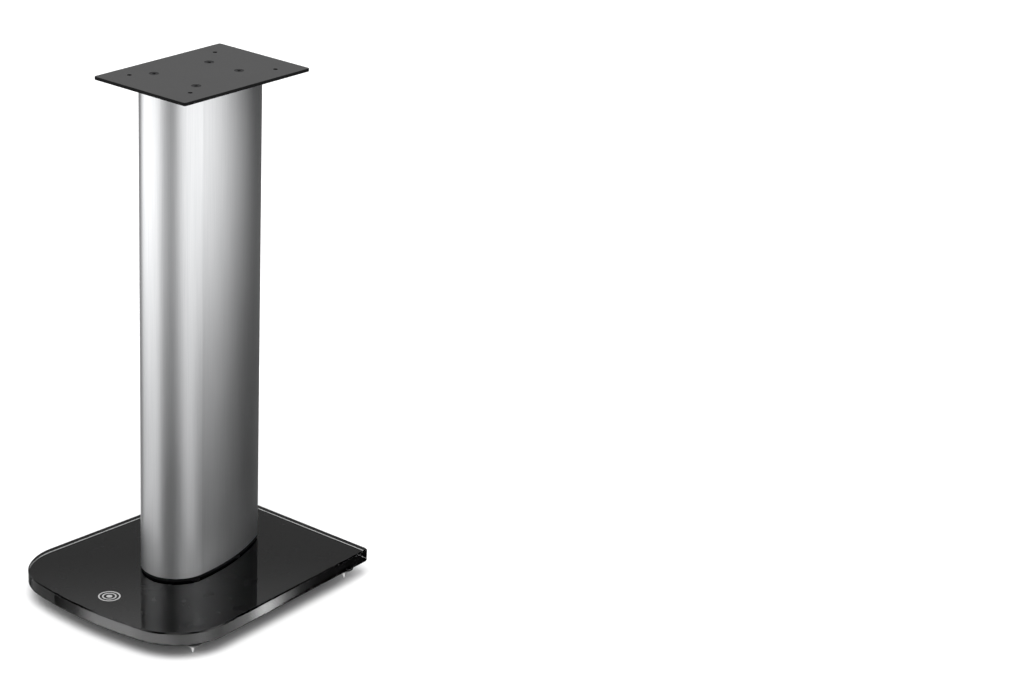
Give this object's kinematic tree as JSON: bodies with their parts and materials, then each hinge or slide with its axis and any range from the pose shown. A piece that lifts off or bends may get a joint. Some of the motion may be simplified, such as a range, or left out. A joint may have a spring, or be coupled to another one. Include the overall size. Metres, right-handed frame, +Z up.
{
  "type": "loudspeaker stand",
  "caption": "Loudspeaker stand: flat steel top plate on a tapering aluminium column, bolted to a round-cornered glass base that levels on adjustable spikes.",
  "frame": {"origin": "on the floor at the spike tips, under the middle of the glass base", "axes": "+Z up the column, the bowed front edge of the base faces -Y, +X to the stand's left as it faces a listener"},
  "size_m": [0.2898, 0.345, 0.6358],
  "materials": {
    "black_powder_coat": "fine matt powder coat",
    "satin_aluminium": "satin silver anodised extrusion",
    "clear_glass": "clear, polished edges, black behind",
    "black_film": "gloss black backing",
    "black_rubber": "matt",
    "black_screw": "black oxide",
    "zinc_steel": "zinc plated",
    "bright_steel": "turned and polished",
    "black_boss": "satin black",
    "black_nylon": "black nylon",
    "silver_print": "screen-printed silver ink"
  },
  "bodies": {
    "stand": {"top_plate": "black_powder_coat", "top_screws": "black_screw", "top_pad": "black_rubber", "column": "satin_aluminium", "base_gasket": "black_rubber", "glass_base": "clear_glass", "backing_film": "black_film", "glass_sleeves": "black_nylon", "clamp_pad": "black_rubber", "clamp_plate": "black_powder_coat", "base_washers": "zinc_steel", "base_screws": "zinc_steel", "front_mark": "silver_print", "foot_boss_front_left": "black_boss", "foot_boss_front_right": "black_boss", "foot_boss_rear_left": "black_boss", "foot_boss_rear_right": "black_boss"},
    "nut_front_left": {"lock_nut_front_left": "zinc_steel"},
    "spike_front_left": {"spike_front_left": "bright_steel"},
    "nut_front_right": {"lock_nut_front_right": "zinc_steel"},
    "spike_front_right": {"spike_front_right": "bright_steel"},
    "nut_rear_left": {"lock_nut_rear_left": "zinc_steel"},
    "spike_rear_left": {"spike_rear_left": "bright_steel"},
    "nut_rear_right": {"lock_nut_rear_right": "zinc_steel"},
    "spike_rear_right": {"spike_rear_right": "bright_steel"}
  },
  "joints": [
    {"name": "turn_front_left", "type": "hinge", "parent": "stand", "child": "nut_front_left", "pos_m": [-0.12, -0.117, 0], "axis": [0, 0, -1], "range_deg": [-5, 1445]},
    {"name": "height_front_left", "type": "slide", "parent": "nut_front_left", "child": "spike_front_left", "axis": [0, 0, -1], "range_m": [0, 0.004]},
    {"name": "turn_front_right", "type": "hinge", "parent": "stand", "child": "nut_front_right", "pos_m": [0.12, -0.117, 0], "axis": [0, 0, -1], "range_deg": [-5, 1445]},
    {"name": "height_front_right", "type": "slide", "parent": "nut_front_right", "child": "spike_front_right", "axis": [0, 0, -1], "range_m": [0, 0.004]},
    {"name": "turn_rear_left", "type": "hinge", "parent": "stand", "child": "nut_rear_left", "pos_m": [-0.115, 0.147, 0], "axis": [0, 0, -1], "range_deg": [-5, 1445]},
    {"name": "height_rear_left", "type": "slide", "parent": "nut_rear_left", "child": "spike_rear_left", "axis": [0, 0, -1], "range_m": [0, 0.004]},
    {"name": "turn_rear_right", "type": "hinge", "parent": "stand", "child": "nut_rear_right", "pos_m": [0.115, 0.147, 0], "axis": [0, 0, -1], "range_deg": [-5, 1445]},
    {"name": "height_rear_right", "type": "slide", "parent": "nut_rear_right", "child": "spike_rear_right", "axis": [0, 0, -1], "range_m": [0, 0.004]}
  ],
  "couplings": [
    {"joint": "turn_front_left", "follows": "height_front_left", "rad_per_m": 6283.2},
    {"joint": "turn_front_right", "follows": "height_front_right", "rad_per_m": 6283.2},
    {"joint": "turn_rear_left", "follows": "height_rear_left", "rad_per_m": 6283.2},
    {"joint": "turn_rear_right", "follows": "height_rear_right", "rad_per_m": 6283.2}
  ]
}
